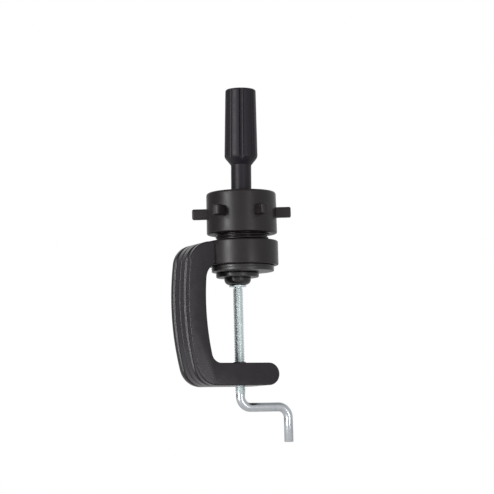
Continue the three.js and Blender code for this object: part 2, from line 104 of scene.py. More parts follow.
HOUSING_CUT_TOP = 30.0
CUT_MARGIN = 1.0
NUT_SIDES = 6
GAP = 0.3
FINE_EDGE = 0.2
SOFT_EDGE = 0.4

HOUSING_SHOULDER = 23.8
HOUSING_LOWER_EDGE = 0.9
HOUSING_UPPER_EDGE = 1.3
NECK_RADIUS = 20.8
NECK_PITCH = 2.5
NECK_THREAD_DEPTH = 1.1
NECK_CHAMFER = 1.0
SOCKET_BORE_RADIUS = 17.9
SOCKET_FLOOR = 12.0

JAW_SCREW_HOLE_RADIUS = 2.3
JAW_RECESS_RADIUS = 4.5
JAW_RECESS_DEPTH = 2.2
JAW_DRAFT = 0.1
JAW_BEAD_HEIGHT = 0.15
JAW_BEAD_HALF_WIDTH = 0.5
JAW_BEAD_EDGE = 0.15
JAW_UPPER_EDGE = 0.25

BALL_RADIUS = 17.0
BALL_FLAT_DROP = 14.0
BALL_STEPS = 24
BALL_RECESS_RADIUS = 5.5
BALL_RECESS_TOP = 37.6
BALL_SOCKET_FLOOR = 52.0
POST_BOLT_HOLE_RADIUS = 2.8
RING_BORE_RADIUS = 15.0
RING_TOP_WIDENING = 1.2

COLLAR_RADIUS = 27.5
COLLAR_BORE_RADIUS = 21.2
COLLAR_OPENING_RADIUS = 18.3
COLLAR_LIP = 4.7
COLLAR_LOWER_EDGE = 1.3
COLLAR_UPPER_EDGE = 2.2
COLLAR_OPENING_EDGE = 0.8
COLLAR_TAPER = 0.3
COLLAR_SIDES = 160
LUG_COUNT = 6
LUG_ROOT = 24.0
LUG_REACH = 38.8
LUG_WIDTH = 6.0
LUG_HEIGHT = 8.2
LUG_Z = 46.0
LUG_PHASE = math.radians(33.0)
LUG_EDGE = 1.3
LUG_END_STEPS = 5
LUG_CORNER_STEPS = 4

POST_BOTTOM = 52.3
POST_NECK_RADIUS = 8.0
POST_SHOULDER_BOTTOM = 84.2
POST_SHOULDER_TOP = 90.6
POST_SHOULDER_RADIUS = 13.1
POST_TOP_RADIUS = 12.05
POST_TOP = 144.6
POST_NECK_FILLET = 1.0
POST_SHOULDER_FILLET = 4.5
POST_TOP_EDGE = 1.6
POST_CORNER_STEPS = 10
POST_ROW_HEIGHT = 1.5
POST_SIDES = 288
FLUTE_COUNT = 8
FLUTE_RADIUS = 1.9
FLUTE_DEPTH = 1.5
FLUTE_EDGE = 0.3

THREAD_RADIUS = 4.0
THREAD_DEPTH = 0.65
THREAD_PITCH = 1.25
THREAD_TOP = -12.0
THREAD_BOTTOM = -95.0
THREAD_CHAMFER = 0.7
THREAD_OVERLAP = 0.6
THREAD_INSET = 0.1
ROD_RADIUS = 3.6
ROD_EDGE = 0.5
SCREW_SIDES = 40
TIP_BALL_RADIUS = 3.5
TIP_BALL_Z = -7.7
TIP_NECK_RADIUS = 2.8
TIP_STEPS = 12
CRANK_Z = -105.7
CRANK_REACH = 41.4
CRANK_BEND_RADIUS = 8.5
CRANK_BEND_STEPS = 16
PAD_DRAFT = 0.2
PAD_LOWER_EDGE = 0.8
PAD_UPPER_EDGE = 0.6
PAD_CUP_DOME = 4.4
PAD_CUP_TAPER = 0.4
PAD_CUP_STEPS = 14
PAD_WASHER_EDGE = 0.35
PAD_WASHER_HOLE_EDGE = 0.1
CAP_SLEEVE_RADIUS = 5.0
CAP_SLEEVE_EDGE = 0.3

# ---- mesh helpers -----------------------------------------------------------------------------------

SIDES = 128
SMALL_SIDES = 96
BORE_SIDES = 64
CORNER_STEPS = 6
SHARP_ANGLE = 34.0
SCREW_SHARP_ANGLE = 70.0
CREST_SHARE = 0.2
FLANK_SHARE = 0.7
ROWS_PER_PITCH = 10
WELD_METRES = 1e-6
SLIVER_METRES = 1e-7
NO_LENGTH = 1e-6


def mesh_object(name, vertices, faces, sharp=SHARP_ANGLE):
    """A mesh from points in millimetres, smooth except across edges sharper than sharp degrees."""
    mesh = bpy.data.meshes.new(name)
    mesh.from_pydata([Vector(v) * MM for v in vertices], [], faces)
    work = bmesh.new()
    work.from_mesh(mesh)
    bmesh.ops.remove_doubles(work, verts=work.verts, dist=WELD_METRES)
    bmesh.ops.dissolve_degenerate(work, edges=work.edges, dist=SLIVER_METRES)
    bmesh.ops.recalc_face_normals(work, faces=work.faces)
    work.to_mesh(mesh)
    work.free()
    mesh.shade_smooth()
    mesh.set_sharp_from_angle(angle=math.radians(sharp))
    piece = bpy.data.objects.new(name, mesh)
    bpy.context.scene.collection.objects.link(piece)
    return piece


def grid_faces(rows, columns, close_rows=False):
    """Quads between rows of points. Columns always close on themselves."""
    faces = []
    last = rows if close_rows else rows - 1
    for i in range(last):
        below = i * columns
        above = (i + 1) % rows * columns
        for j in range(columns):
            k = (j + 1) % columns
            faces.append((below + j, below + k, above + k, above + j))
    return faces


def arc(centre, radius, start, end, steps):
    """Points on an arc, angles in radians."""
    points = []
    for i in range(steps + 1):
        angle = start + (end - start) * i / steps
        points.append((centre[0] + radius * math.cos(angle), centre[1] + radius * math.sin(angle)))
    return points


def rounded(corners, steps=CORNER_STEPS):
    """A closed outline whose corners are (x, z, fillet radius)."""
    points = []
    for i, (x, z, radius) in enumerate(corners):
        here = Vector((x, z))
        before = Vector(corners[i - 1][:2]) - here
        after = Vector(corners[(i + 1) % len(corners)][:2]) - here
        if radius == 0.0 or min(before.length, after.length) < NO_LENGTH:
            points.append((x, z))
            continue
        before.normalize()
        after.normalize()
        half = before.angle(after) / 2
        reach = radius / math.tan(half)
        middle = here + (before + after).normalized() * radius / math.sin(half)
        start = here + before * reach - middle
        end = here + after * reach - middle
        first = math.atan2(start.y, start.x)
        sweep = math.atan2(end.y, end.x) - first
        sweep = (sweep + math.pi) % (2 * math.pi) - math.pi
        points += arc(middle, radius, first, first + sweep, steps)
    return points


def ring_points(radius, z, axis, sides):
    """One level ring of points about a vertical axis at (x, y)."""
    points = []
    for j in range(sides):
        angle = 2 * math.pi * j / sides
        points.append((axis[0] + radius * math.cos(angle), axis[1] + radius * math.sin(angle), z))
    return points


def turned(name, corners, axis, sides=SIDES, steps=CORNER_STEPS):
    """A closed profile of (radius, z, fillet) corners turned about a vertical axis at (x, y)."""
    profile = rounded(corners, steps)
    vertices = []
    for radius, z in profile:
        vertices += ring_points(radius, z, axis, sides)
    return mesh_object(name, vertices, grid_faces(len(profile), sides, close_rows=True))


def cylinder(radius, bottom, top):
    """The profile of a plain cylinder."""
    return [(0.0, bottom, 0.0), (radius, bottom, 0.0), (radius, top, 0.0), (0.0, top, 0.0)]


def thread_depth(z, angle, pitch, depth):
    """How far a right-hand thread with rounded flanks lies below its crest at a height and an angle."""
    phase = (z / pitch - angle / (2 * math.pi)) % 1.0
    slope = min(1.0, max(0.0, (abs(2 * phase - 1) - CREST_SHARE) / FLANK_SHARE))
    return depth * slope * slope * (3 - 2 * slope)


def threaded_rows(radius, bottom, top, pitch, depth, axis, sides, chamfer):
    """Rows of points round a threaded stretch, with a chamfer where it starts and ends."""
    count = round((top - bottom) / pitch * ROWS_PER_PITCH)
    rows = []
    for i in range(count + 1):
        z = bottom + (top - bottom) * i / count
        limit = radius - max(0.0, chamfer - min(z - bottom, top - z))
        for j in range(sides):
            angle = 2 * math.pi * j / sides
            r = min(limit, radius - thread_depth(z, angle, pitch, depth))
            rows.append((axis[0] + r * math.cos(angle), axis[1] + r * math.sin(angle), z))
    return rows


def cut_away(piece, cutters):
    """Cuts solids out of a piece and removes the cutters."""
    for cutter in cutters:
        modifier = piece.modifiers.new("cut", "BOOLEAN")
        modifier.operation = "DIFFERENCE"
        modifier.solver = "EXACT"
        modifier.object = cutter
    bpy.context.view_layer.update()
    evaluated = piece.evaluated_get(bpy.context.evaluated_depsgraph_get())
    mesh = bpy.data.meshes.new_from_object(evaluated)
    piece.modifiers.clear()
    piece.data = mesh
    mesh.set_sharp_from_angle(angle=math.radians(SHARP_ANGLE))
    for cutter in cutters:
        bpy.data.objects.remove(cutter)


def merged(name, parts, sharp=SHARP_ANGLE):
    """One piece from several closed shells."""
    vertices = []
    faces = []
    for part_vertices, part_faces in parts:
        first = len(vertices)
        vertices += part_vertices
        faces += [tuple(first + i for i in face) for face in part_faces]
    return mesh_object(name, vertices, faces, sharp)


# ---- materials --------------------------------------------------------------------------------------

# Noise scales are in features a metre, and grain heights in metres.
FLOW_SCALE = 45.0
CLOUD_SCALE = 180.0
PLATING_SCALE = 260.0
MARK_SCALE = 700.0
NOISE_DETAIL = 3.0
GRAIN_DETAIL = 2.0
NOISE_RANGE = (0.3, 0.7)
GLOSS_SPREAD = 0.04
PLASTIC_SHADES = (0.88, 1.12)
PLASTIC_GRAIN_HEIGHT = 0.00004
METAL_SHADE = 0.9
METAL_GLOSS_DIP = 0.03
METAL_GRAIN_HEIGHT = 0.00002


def new_material(name):
    material = bpy.data.materials.new(name)
    material.use_nodes = True
    tree = material.node_tree
    shader = tree.nodes["Principled BSDF"]
    place = tree.nodes.new("ShaderNodeTexCoord")
    return material, tree, shader, place.outputs["Object"]


def noise(tree, place, scale, detail=NOISE_DETAIL):
    node = tree.nodes.new("ShaderNodeTexNoise")
    node.inputs["Scale"].default_value = scale
    node.inputs["Detail"].default_value = detail
    tree.links.new(place, node.inputs["Vector"])
    return node.outputs["Fac"]


def spread(tree, value, low, high):
    """Maps a noise value to a range."""
    node = tree.nodes.new("ShaderNodeMapRange")
    node.inputs["From Min"].default_value, node.inputs["From Max"].default_value = NOISE_RANGE
    node.inputs["To Min"].default_value = low
    node.inputs["To Max"].default_value = high
    tree.links.new(value, node.inputs["Value"])
    return node.outputs["Result"]


def tint(tree, value, dark, light):
    """Blends two colours by a noise value."""
    node = tree.nodes.new("ShaderNodeMix")
    node.data_type = "RGBA"
    node.inputs["A"].default_value = (*dark, 1.0)
    node.inputs["B"].default_value = (*light, 1.0)
    tree.links.new(spread(tree, value, 0.0, 1.0), node.inputs["Factor"])
    return node.outputs["Result"]


def bump(tree, shader, value, strength, distance):
    node = tree.nodes.new("ShaderNodeBump")
    node.inputs["Strength"].default_value = strength
    node.inputs["Distance"].default_value = distance
    tree.links.new(value, node.inputs["Height"])
    tree.links.new(node.outputs["Normal"], shader.inputs["Normal"])


def plastic(name, color, roughness, grain, grain_strength, specular=0.5):
    """Moulded plastic: a fine grain, and slow changes of shade and gloss from the flow in the mould."""
    material, tree, shader, place = new_material(name)
    dark, light = (tuple(shade * c for c in color) for shade in PLASTIC_SHADES)
    flow = noise(tree, place, FLOW_SCALE)
    tree.links.new(tint(tree, flow, dark, light), shader.inputs["Base Color"])
    cloud = noise(tree, place, CLOUD_SCALE)
    gloss = spread(tree, cloud, roughness - GLOSS_SPREAD, roughness + GLOSS_SPREAD)
    tree.links.new(gloss, shader.inputs["Roughness"])
    shader.inputs["Specular IOR Level"].default_value = specular
    fine = noise(tree, place, grain, GRAIN_DETAIL)
    bump(tree, shader, fine, grain_strength, PLASTIC_GRAIN_HEIGHT)
    return material


def metal(name, color, roughness, grain, grain_strength):
    """Plated metal: a slightly uneven gloss and faint marks from turning and tumbling."""
    material, tree, shader, place = new_material(name)
    shader.inputs["Metallic"].default_value = 1.0
    dark = tuple(METAL_SHADE * c for c in color)
    plating = noise(tree, place, PLATING_SCALE)
    tree.links.new(tint(tree, plating, dark, color), shader.inputs["Base Color"])
    marks = noise(tree, place, MARK_SCALE)
    gloss = spread(tree, marks, roughness - METAL_GLOSS_DIP, roughness + GLOSS_SPREAD)
    tree.links.new(gloss, shader.inputs["Roughness"])
    fine = noise(tree, place, grain, GRAIN_DETAIL)
    bump(tree, shader, fine, grain_strength, METAL_GRAIN_HEIGHT)
    return material


# Colour, roughness, grain scale, grain strength and, where it isn't the usual, specular level.
MATERIALS = {
    "frame_plastic": plastic("frame_plastic", (0.0068, 0.0034, 0.0072), 0.27, 2600.0, 0.02),
    "housing_plastic": plastic("housing_plastic", (0.0072, 0.0042, 0.0052), 0.38, 3000.0, 0.2, 0.46),
    "post_plastic": plastic("post_plastic", (0.0090, 0.0060, 0.0110), 0.44, 2200.0, 0.12, 0.33),
    "pad_plastic": plastic("pad_plastic", (0.0090, 0.0070, 0.0080), 0.28, 2600.0, 0.15),
    "inner_plastic": plastic("inner_plastic", (0.62, 0.60, 0.55), 0.42, 2400.0, 0.2),
    "zinc": metal("zinc", (0.62, 0.65, 0.68), 0.24, 1500.0, 0.004),
    # A lighter copy of the zinc for the thread, tip and washer. The rougher gloss is the rolled thread's own; the
    # lighter colour is painted light.
    "rough_zinc_painted_lighter": metal("rough_zinc_painted_lighter", (0.86, 0.93, 0.94), 0.42, 1500.0, 0.004),
    # A lighter copy of the black plastic for the jaw's and the pad's discs: the lighter colour is painted light on
    # their sides.
    "disc_black_painted_lighter": plastic("disc_black_painted_lighter", (0.016, 0.013, 0.014), 0.34, 2600.0, 0.15, 0.6),
    "steel": metal("steel", (0.50, 0.51, 0.52), 0.33, 1500.0, 0.25),
}

SLOT_OF_NODE = {part["node"]: part["material_slot"] for part in frame["record"]["subparts"]}
BODY_OF_NODE = {
    node: body for body, nodes in frame["record"]["behaviour"]["bodies"].items() for node in nodes
}


def stand_for(piece, node, look=None):
    """The piece takes a CAD node's place, body and slot, and its material unless look names another."""
    slot = SLOT_OF_NODE[node]
    piece.data.materials.clear()
    piece.data.materials.append(MATERIALS[look or slot])
    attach(piece, BODY_OF_NODE[node])
    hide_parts(node)


# ---- C-frame ----------------------------------------------------------------------------------------


def fillet_x(radius, z, spine_radius):
    """Where a fillet between a level line and the arched spine has its centre."""
    rise = z - SPINE_CENTRE[1]
    return SPINE_CENTRE[0] - math.sqrt((spine_radius - radius) ** 2 - rise ** 2)


def frame_outline(inset):
    """The C outline in the XZ plane, with the back of the spine moved forward by inset."""
    low, high = box_mm("c_frame")
    top, bottom = high.z, low.z
    upper_z = top - OUTER_CORNER_RADIUS
    lower_z = bottom + OUTER_CORNER_RADIUS
    upper_x = fillet_x(OUTER_CORNER_RADIUS, upper_z, SPINE_OUTER_RADIUS) + inset
    lower_x = fillet_x(OUTER_CORNER_RADIUS, lower_z, SPINE_OUTER_RADIUS) + inset
    throat_top = UPPER_ARM_UNDERSIDE - UPPER_FILLET_RADIUS
    throat_bottom = LOWER_ARM_TOP + LOWER_FILLET_RADIUS
    throat_top_x = fillet_x(UPPER_FILLET_RADIUS, throat_top, SPINE_INNER_RADIUS)
    throat_bottom_x = fillet_x(LOWER_FILLET_RADIUS, throat_bottom, SPINE_INNER_RADIUS)
    back = (SPINE_CENTRE[0] + inset, SPINE_CENTRE[1])

    def towards(x, z, centre):
        return math.atan2(z - centre[1], x - centre[0]) % (2 * math.pi)

    outer_top = towards(upper_x, upper_z, back)
    outer_bottom = towards(lower_x, lower_z, back)
    inner_top = towards(throat_top_x, throat_top, SPINE_CENTRE)
    inner_bottom = towards(throat_bottom_x, throat_bottom, SPINE_CENTRE)
    end_radius = (LOWER_ARM_TOP - bottom) / 2
    end = (high.x - end_radius, bottom + end_radius)
    right = math.pi / 2
    points = [(0.0, top)]
    points += arc((upper_x, upper_z), OUTER_CORNER_RADIUS, right, outer_top, OUTER_CORNER_STEPS)
    points += arc(back, SPINE_OUTER_RADIUS, outer_top, outer_bottom, OUTER_SPINE_STEPS)[1:]
    points += arc((lower_x, lower_z), OUTER_CORNER_RADIUS, outer_bottom, 3 * right, OUTER_CORNER_STEPS)[1:]
    points += arc(end, end_radius, -right, right, ARM_END_STEPS)
    lower_fillet = (throat_bottom_x, throat_bottom)
    points += arc(lower_fillet, LOWER_FILLET_RADIUS, 3 * right, inner_bottom, THROAT_FILLET_STEPS)
    points += arc(SPINE_CENTRE, SPINE_INNER_RADIUS, inner_bottom, inner_top, INNER_SPINE_STEPS)[1:]
    upper_fillet = (throat_top_x, throat_top)
    points += arc(upper_fillet, UPPER_FILLET_RADIUS, inner_top, right, THROAT_FILLET_STEPS)[1:]
    points.append((0.0, UPPER_ARM_UNDERSIDE))
    return points


def pulled_in(outline, distance):
    """The outline offset inwards. It runs counter-clockwise."""
    moved = []
    count = len(outline)
    for i, (x, z) in enumerate(outline):
        before = outline[i - 1]
        after = outline[(i + 1) % count]
        along = Vector((after[0] - before[0], after[1] - before[1])).normalized()
        moved.append((x - along.y * distance, z + along.x * distance))
    return moved


def dip(distance, width, depth, flank):
    """Depth of a flat-bottomed groove at a distance from its middle, with softly rounded flanks."""
    rise = min(1.0, max(0.0, (width / 2 - abs(distance)) / flank))
    return depth * rise * rise * (3 - 2 * rise)


def frame_levels():
    """(y, inward offset, groove depth) of the rows across the frame's width."""
    half = box_mm("c_frame")[1].y
    levels = []
    for i in range(FRAME_EDGE_STEPS + 1):
        angle = math.pi / 2 * i / FRAME_EDGE_STEPS
        levels.append((-half + FRAME_EDGE * (1 - math.cos(angle)), FRAME_EDGE * (1 - math.sin(angle)), 0.0))
    edge_levels = levels[:]
    inner = half - FRAME_EDGE
    for i in range(1, FRAME_ROWS):
        y = -inner + 2 * inner * i / FRAME_ROWS
        groove = dip(abs(y) - GROOVE_CENTRE, GROOVE_WIDTH, GROOVE_DEPTH, GROOVE_FLANK)
        groove += dip(y, CENTRE_LINE_WIDTH, CENTRE_LINE_DEPTH, CENTRE_LINE_WIDTH / 2)
        levels.append((y, 0.0, groove))
    levels += [(-y, offset, groove) for y, offset, groove in reversed(edge_levels)]
    return levels


def make_frame():
    vertices = []
    levels = frame_levels()
    for y, offset, groove in levels:
        outline = pulled_in(frame_outline(groove), offset)
        vertices += [(x, y, z) for x, z in outline]
    columns = len(vertices) // len(levels)
    faces = grid_faces(len(levels), columns)
    faces.append(tuple(reversed(range(columns))))
    faces.append(tuple(range(len(vertices) - columns, len(vertices))))
    piece = mesh_object("frame_body", vertices, faces)

    bottom = box_mm("c_frame")[0].z
    housing_low, housing_high = box_mm("socket_housing")
    cap_low, cap_high = box_mm("nut_cap")
    nut_low, nut_high = box_mm("clamp_nut")
    seat = cylinder((housing_high.x - housing_low.x) / 2 + GAP, HOUSING_CUT_BOTTOM, HOUSING_CUT_TOP)
    bore = cylinder(SCREW_BORE_RADIUS, bottom - CUT_MARGIN, LOWER_ARM_TOP + CUT_MARGIN)
    cap = cylinder((cap_high.x - cap_low.x) / 2 + GAP, cap_low.z - GAP, LOWER_ARM_TOP + 2 * CUT_MARGIN)
    nut = cylinder((nut_high.y - nut_low.y) / 2 + GAP, nut_low.z - GAP, cap_low.z)
    cut_away(piece, [
        turned("cut_housing", seat, SOCKET_AXIS),
        turned("cut_bore", bore, SCREW_AXIS, BORE_SIDES),
        turned("cut_cap", cap, SCREW_AXIS, SMALL_SIDES),
        turned("cut_nut", nut, SCREW_AXIS, NUT_SIDES),
    ])
    stand_for(piece, "c_frame")


# ---- socket -----------------------------------------------------------------------------------------


def make_housing():
    low, high = box_mm("socket_housing")
    radius = (high.x - low.x) / 2
    outside = rounded([
        (JAW_SCREW_HOLE_RADIUS, low.z, 0.0), (radius, low.z, HOUSING_LOWER_EDGE),
        (radius, HOUSING_SHOULDER, HOUSING_UPPER_EDGE),
        (NECK_RADIUS - NECK_THREAD_DEPTH, HOUSING_SHOULDER, 0.0),
        (JAW_SCREW_HOLE_RADIUS, HOUSING_SHOULDER, 0.0),
    ])[:-1]
    inside = [
        (SOCKET_BORE_RADIUS, high.z), (SOCKET_BORE_RADIUS, SOCKET_FLOOR),
        (JAW_SCREW_HOLE_RADIUS, SOCKET_FLOOR),
    ]
    vertices = []
    for r, z in outside:
        vertices += ring_points(r, z, SOCKET_AXIS, SIDES)
    vertices += threaded_rows(
        NECK_RADIUS, HOUSING_SHOULDER, high.z, NECK_PITCH, NECK_THREAD_DEPTH, SOCKET_AXIS, SIDES,
        NECK_CHAMFER)
    for r, z in inside:
        vertices += ring_points(r, z, SOCKET_AXIS, SIDES)
    rows = len(vertices) // SIDES
    piece = mesh_object("socket", vertices, grid_faces(rows, SIDES, close_rows=True))
    stand_for(piece, "socket_housing")


def make_jaw_disc():
    low, high = box_mm("jaw_disc")
    radius = (high.x - low.x) / 2
    middle = (low.z + high.z) / 2
    piece = turned("jaw_face", [
        (JAW_RECESS_RADIUS, low.z, 0.0), (radius - JAW_DRAFT, low.z, SOFT_EDGE),
        (radius, middle - JAW_BEAD_HALF_WIDTH, FINE_EDGE),
        (radius + JAW_BEAD_HEIGHT, middle, JAW_BEAD_EDGE),
        (radius, middle + JAW_BEAD_HALF_WIDTH, FINE_EDGE), (radius, high.z, JAW_UPPER_EDGE),
        (JAW_SCREW_HOLE_RADIUS, high.z, 0.0), (JAW_SCREW_HOLE_RADIUS, low.z + JAW_RECESS_DEPTH, 0.0),
    ], SOCKET_AXIS)
    # The jaw disc takes the lighter copy of the black plastic, painted brighter than the housing.
    stand_for(piece, "jaw_disc", "disc_black_painted_lighter")


def lean_with_post(piece):
    """Moves an upright mesh to the post's lean at rest, about the ball's centre."""
    turn = UP.rotation_difference(Vector(mounts["post_top"]["axis"])).to_matrix().to_4x4()
    centre = BALL_CENTRE * MM
    piece.data.transform(Matrix.Translation(centre) @ turn @ Matrix.Translation(-centre))


def make_ball():
    socket = POST_NECK_RADIUS + GAP
    start = -math.asin(BALL_FLAT_DROP / BALL_RADIUS)
    end = math.acos(socket / BALL_RADIUS)
    outside = arc((0.0, BALL_CENTRE.z), BALL_RADIUS, start, end, BALL_STEPS)
    inside = [
        (socket, BALL_SOCKET_FLOOR), (POST_BOLT_HOLE_RADIUS, BALL_SOCKET_FLOOR),
        (POST_BOLT_HOLE_RADIUS, BALL_RECESS_TOP), (BALL_RECESS_RADIUS, BALL_RECESS_TOP),
    ]
    profile = [(BALL_RECESS_RADIUS, BALL_CENTRE.z - BALL_FLAT_DROP)] + outside + inside
    piece = turned("ball_joint", [(r, z, 0.0) for r, z in profile], SOCKET_AXIS)
    lean_with_post(piece)
    stand_for(piece, "ball")


def make_pressure_ring():
    low, high = box_mm("pressure_ring")
    outer = (high.x - low.x) / 2
    piece = turned("ball_ring", [
        (RING_BORE_RADIUS, low.z, FINE_EDGE), (outer, low.z, SOFT_EDGE), (outer, high.z, SOFT_EDGE),
        (RING_BORE_RADIUS + RING_TOP_WIDENING, high.z, SOFT_EDGE),
    ], SOCKET_AXIS)
    stand_for(piece, "pressure_ring")


# ---- collar -----------------------------------------------------------------------------------------


def lug(angle):
    """A rounded bar that stands out of the collar."""
    half_width = LUG_WIDTH / 2
    half_height = LUG_HEIGHT / 2
    section = rounded([
        (-half_width, -half_height, LUG_EDGE), (half_width, -half_height, LUG_EDGE),
        (half_width, half_height, LUG_EDGE), (-half_width, half_height, LUG_EDGE),
    ], LUG_CORNER_STEPS)
    rows = [(LUG_ROOT, 0.0)]
    for i in range(LUG_END_STEPS + 1):
        turn = math.pi / 2 * i / LUG_END_STEPS
        rows.append((LUG_REACH - LUG_EDGE * (1 - math.sin(turn)), LUG_EDGE * (1 - math.cos(turn))))
    vertices = []
    place = Matrix.Translation((*SOCKET_AXIS, LUG_Z)) @ Matrix.Rotation(angle, 4, "Z")
    for x, offset in rows:
        shrink_y = (half_width - offset) / half_width
        shrink_z = (half_height - offset) / half_height
        vertices += [place @ Vector((x, y * shrink_y, z * shrink_z)) for y, z in section]
    faces = grid_faces(len(rows), len(section))
    faces.append(tuple(reversed(range(len(section)))))
    faces.append(tuple(range(len(vertices) - len(section), len(vertices))))
    return vertices, faces


def make_collar():
    low, high = box_mm("collar_nut")
    ledge = high.z - COLLAR_LIP
    profile = rounded([
        (COLLAR_BORE_RADIUS, low.z, SOFT_EDGE),
        (COLLAR_RADIUS + COLLAR_TAPER / 2, low.z, COLLAR_LOWER_EDGE),
        (COLLAR_RADIUS - COLLAR_TAPER / 2, high.z, COLLAR_UPPER_EDGE),
        (COLLAR_OPENING_RADIUS, high.z, COLLAR_OPENING_EDGE),
        (COLLAR_OPENING_RADIUS, ledge, FINE_EDGE), (COLLAR_BORE_RADIUS, ledge, FINE_EDGE),
    ])
    vertices = []
    for r, z in profile:
        vertices += ring_points(r, z, SOCKET_AXIS, COLLAR_SIDES)
    parts = [(vertices, grid_faces(len(profile), COLLAR_SIDES, close_rows=True))]
    for i in range(LUG_COUNT):
        parts.append(lug(LUG_PHASE + i * 2 * math.pi / LUG_COUNT))
    piece = merged("collar", parts)
    stand_for(piece, "collar_nut")


# ---- post -------------------------------------------------------------------------------------------


def soft_min(a, b, blend):
    """The smaller of two radii, with a rounded edge where they meet."""
    h = max(blend - abs(a - b), 0.0) / blend
    return min(a, b) - h * h * blend / 4


def flute_radius(z, offset):
    """Radius of a flute's bottom at an angle from its middle, or None beside it."""
    along = (z - POST_SHOULDER_TOP) / (POST_TOP - POST_SHOULDER_TOP)
    outside = POST_SHOULDER_RADIUS + (POST_TOP_RADIUS - POST_SHOULDER_RADIUS) * along
    centre = outside + FLUTE_RADIUS - FLUTE_DEPTH
    side = centre * math.sin(offset)
    if abs(side) >= FLUTE_RADIUS:
        return None
    return centre * math.cos(offset) - math.sqrt(FLUTE_RADIUS ** 2 - side ** 2)


def make_post():
    profile = rounded([
        (POST_BOLT_HOLE_RADIUS, POST_BOTTOM, 0.0), (POST_NECK_RADIUS, POST_BOTTOM, 0.0),
        (POST_NECK_RADIUS, POST_SHOULDER_BOTTOM, POST_NECK_FILLET),
        (POST_SHOULDER_RADIUS, POST_SHOULDER_TOP, POST_SHOULDER_FILLET),
        (POST_TOP_RADIUS, POST_TOP, POST_TOP_EDGE), (0.0, POST_TOP, 0.0),
    ], POST_CORNER_STEPS)
    outside = [profile[0]]
    for (r0, z0), (r1, z1) in zip(profile, profile[1:]):
        steps = max(1, int(abs(z1 - z0) / POST_ROW_HEIGHT))
        for i in range(1, steps + 1):
            outside.append((r0 + (r1 - r0) * i / steps, z0 + (z1 - z0) * i / steps))
    spacing = 2 * math.pi / FLUTE_COUNT
    vertices = []
    for radius, z in outside:
        for j in range(POST_SIDES):
            angle = 2 * math.pi * j / POST_SIDES
            flute = flute_radius(z, angle % spacing - spacing / 2)
            r = radius
            if z > POST_SHOULDER_BOTTOM and radius > POST_NECK_RADIUS and flute is not None:
                r = soft_min(radius, flute, FLUTE_EDGE)
            vertices.append((SOCKET_AXIS[0] + r * math.cos(angle), SOCKET_AXIS[1] + r * math.sin(angle), z))
    faces = grid_faces(len(outside), POST_SIDES)
    faces.append(tuple(reversed(range(POST_SIDES))))
    piece = mesh_object("fluted_post", vertices, faces)
    lean_with_post(piece)
    stand_for(piece, "post")


# ---- clamp screw and pad ----------------------------------------------------------------------------


def crank_centre_line(end):
    """(x, z, heading) along the rod from the thread to its lower end, heading in radians from level."""
    bend = CRANK_BEND_RADIUS
    down = -math.pi / 2
    turns = [math.pi / 2 * i / CRANK_BEND_STEPS for i in range(CRANK_BEND_STEPS + 1)]
    line = [(0.0, THREAD_BOTTOM, down)]
    for turn in turns:
        line.append((bend - bend * math.cos(turn), CRANK_Z + bend - bend * math.sin(turn), turn + down))
    for turn in turns:
        x = CRANK_REACH - bend + bend * math.sin(turn)
        line.append((x, CRANK_Z - bend + bend * math.cos(turn), -turn))
    line.append((CRANK_REACH, end + ROD_EDGE, down))
    return line


def rod_ring(x, z, heading, radius):
    """A ring of points square to the rod's centre line."""
    across = Vector((-math.sin(heading), 0.0, math.cos(heading)))
    points = []
    for j in range(SCREW_SIDES):
        angle = 2 * math.pi * j / SCREW_SIDES
        offset = across * (radius * math.cos(angle)) + Vector((0.0, radius * math.sin(angle), 0.0))
        points.append(Vector((SCREW_AXIS[0] + x, SCREW_AXIS[1], z)) + offset)
    return points


def make_screw():
    end = box_mm("clamp_screw")[0].z
    line = crank_centre_line(end)
    crank = rod_ring(line[-1][0], end, line[-1][2], ROD_RADIUS - ROD_EDGE)
    for x, z, heading in reversed(line):
        crank += rod_ring(x, z, heading, ROD_RADIUS)
    crank_faces = grid_faces(len(crank) // SCREW_SIDES, SCREW_SIDES)
    crank_faces.append(tuple(reversed(range(SCREW_SIDES))))
    crank_faces.append(tuple(range(len(crank) - SCREW_SIDES, len(crank))))

    start = THREAD_BOTTOM - THREAD_OVERLAP
    shaft = ring_points(0.0, start, SCREW_AXIS, SCREW_SIDES)
    shaft += ring_points(ROD_RADIUS - THREAD_INSET, start, SCREW_AXIS, SCREW_SIDES)
    shaft += threaded_rows(
        THREAD_RADIUS, THREAD_BOTTOM, THREAD_TOP, THREAD_PITCH, THREAD_DEPTH, SCREW_AXIS, SCREW_SIDES,
        THREAD_CHAMFER)
    shaft += ring_points(TIP_NECK_RADIUS, THREAD_TOP, SCREW_AXIS, SCREW_SIDES)
    neck_angle = math.acos(TIP_NECK_RADIUS / TIP_BALL_RADIUS)
    for r, z in arc((0.0, TIP_BALL_Z), TIP_BALL_RADIUS, -neck_angle, math.pi / 2, TIP_STEPS):
        shaft += ring_points(r, z, SCREW_AXIS, SCREW_SIDES)
    shaft_faces = grid_faces(len(shaft) // SCREW_SIDES, SCREW_SIDES)
    piece = merged("crank_screw", [(crank, crank_faces), (shaft, shaft_faces)], SCREW_SHARP_ANGLE)
    stand_for(piece, "clamp_screw")
    # The thread and the ball tip take the lighter copy of the zinc, painted brighter than the rod.
    piece.data.materials.append(MATERIALS["rough_zinc_painted_lighter"])
    for polygon in piece.data.polygons[len(crank_faces):]:
        polygon.material_index = 1


